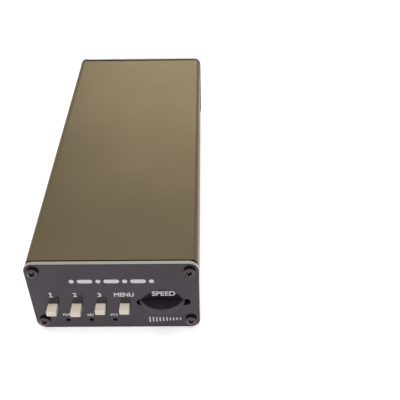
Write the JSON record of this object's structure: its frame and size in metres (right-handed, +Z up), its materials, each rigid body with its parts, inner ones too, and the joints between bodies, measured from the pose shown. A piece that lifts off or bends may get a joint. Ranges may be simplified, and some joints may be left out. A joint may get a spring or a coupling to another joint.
{
  "type": "morse code keyer",
  "caption": "Desktop morse code keyer in an extruded metal case, with push buttons and a thumbwheel in front, jacks and a USB-C socket behind.",
  "frame": {"origin": "on the ground, at the middle of the case's underside, midway between the outer faces of the two panels", "axes": "+Z up, the front panel with the buttons faces -Y, +X to the right as the front is looked at"},
  "size_m": [0.05, 0.1232, 0.028],
  "materials": {
    "anodised_case": "satin bronze-black anodising",
    "coated_panel": "smooth dark grey coating with a soft shine, bare light metal at its edges",
    "black_screw": "black oxide",
    "circuit_board": "green solder mask",
    "cream_cap": "cream moulded plastic",
    "black_plastic": "black moulded plastic",
    "clear_lamp": "clear epoxy",
    "spring_brass": "rolled strip",
    "bright_steel": "nickel plated",
    "chip_black": "moulded epoxy",
    "capacitor_can": "plain can"
  },
  "bodies": {
    "case": {"case_body": "anodised_case", "crystal": "bright_steel", "front_panel": "coated_panel", "front_panel_screw_1": "black_screw", "front_panel_screw_2": "black_screw", "front_panel_screw_3": "black_screw", "front_panel_screw_4": "black_screw", "input_capacitor": "capacitor_can", "key_jack_housing": "black_plastic", "key_jack_ring_contact": "spring_brass", "key_jack_sleeve_contact": "spring_brass", "key_jack_tip_contact": "spring_brass", "key_led": "clear_lamp", "keying_optocoupler": "chip_black", "main_board": "circuit_board", "microcontroller": "chip_black", "output_capacitor": "capacitor_can", "power_led": "clear_lamp", "ptt_led": "clear_lamp", "ptt_optocoupler": "chip_black", "rear_panel": "coated_panel", "rear_panel_screw_1": "black_screw", "rear_panel_screw_2": "black_screw", "rear_panel_screw_3": "black_screw", "rear_panel_screw_4": "black_screw", "reset_switch": "black_plastic", "sidetone_sounder": "black_plastic", "speed_pot_base": "chip_black", "speed_wheel_screw": "bright_steel", "tact_switch_1": "black_plastic", "tact_switch_2": "black_plastic", "tact_switch_3": "black_plastic", "tact_switch_menu": "black_plastic", "tx_jack_housing": "black_plastic", "tx_jack_ring_contact": "spring_brass", "tx_jack_sleeve_contact": "spring_brass", "tx_jack_tip_contact": "spring_brass", "usb_c_shell": "bright_steel", "usb_c_tongue": "black_plastic", "usb_serial_chip": "chip_black", "voltage_regulator": "chip_black"},
    "button_1": {"button_cap_1": "cream_cap"},
    "button_2": {"button_cap_2": "cream_cap"},
    "button_3": {"button_cap_3": "cream_cap"},
    "button_menu": {"button_cap_menu": "cream_cap"},
    "speed_wheel": {"speed_wheel": "black_plastic"},
    "reset_plunger": {"reset_plunger": "cream_cap"}
  },
  "joints": [
    {"name": "button_1_press", "type": "slide", "parent": "case", "child": "button_1", "axis": [0, 1, 0], "range_m": [0, 0.0003], "stiffness_N_per_m": 3000, "springref_m": -0.0002},
    {"name": "button_2_press", "type": "slide", "parent": "case", "child": "button_2", "axis": [0, 1, 0], "range_m": [0, 0.0003], "stiffness_N_per_m": 3000, "springref_m": -0.0002},
    {"name": "button_3_press", "type": "slide", "parent": "case", "child": "button_3", "axis": [0, 1, 0], "range_m": [0, 0.0003], "stiffness_N_per_m": 3000, "springref_m": -0.0002},
    {"name": "button_menu_press", "type": "slide", "parent": "case", "child": "button_menu", "axis": [0, 1, 0], "range_m": [0, 0.0003], "stiffness_N_per_m": 3000, "springref_m": -0.0002},
    {"name": "speed_wheel_turn", "type": "hinge", "parent": "case", "child": "speed_wheel", "pos_m": [0.01385, -0.05565, 0.0116], "axis": [0, 0, 1], "range_deg": [-150, 150]},
    {"name": "reset_press", "type": "slide", "parent": "case", "child": "reset_plunger", "axis": [0, -1, 0], "range_m": [0, 0.0003], "stiffness_N_per_m": 3000, "springref_m": -0.0002}
  ]
}
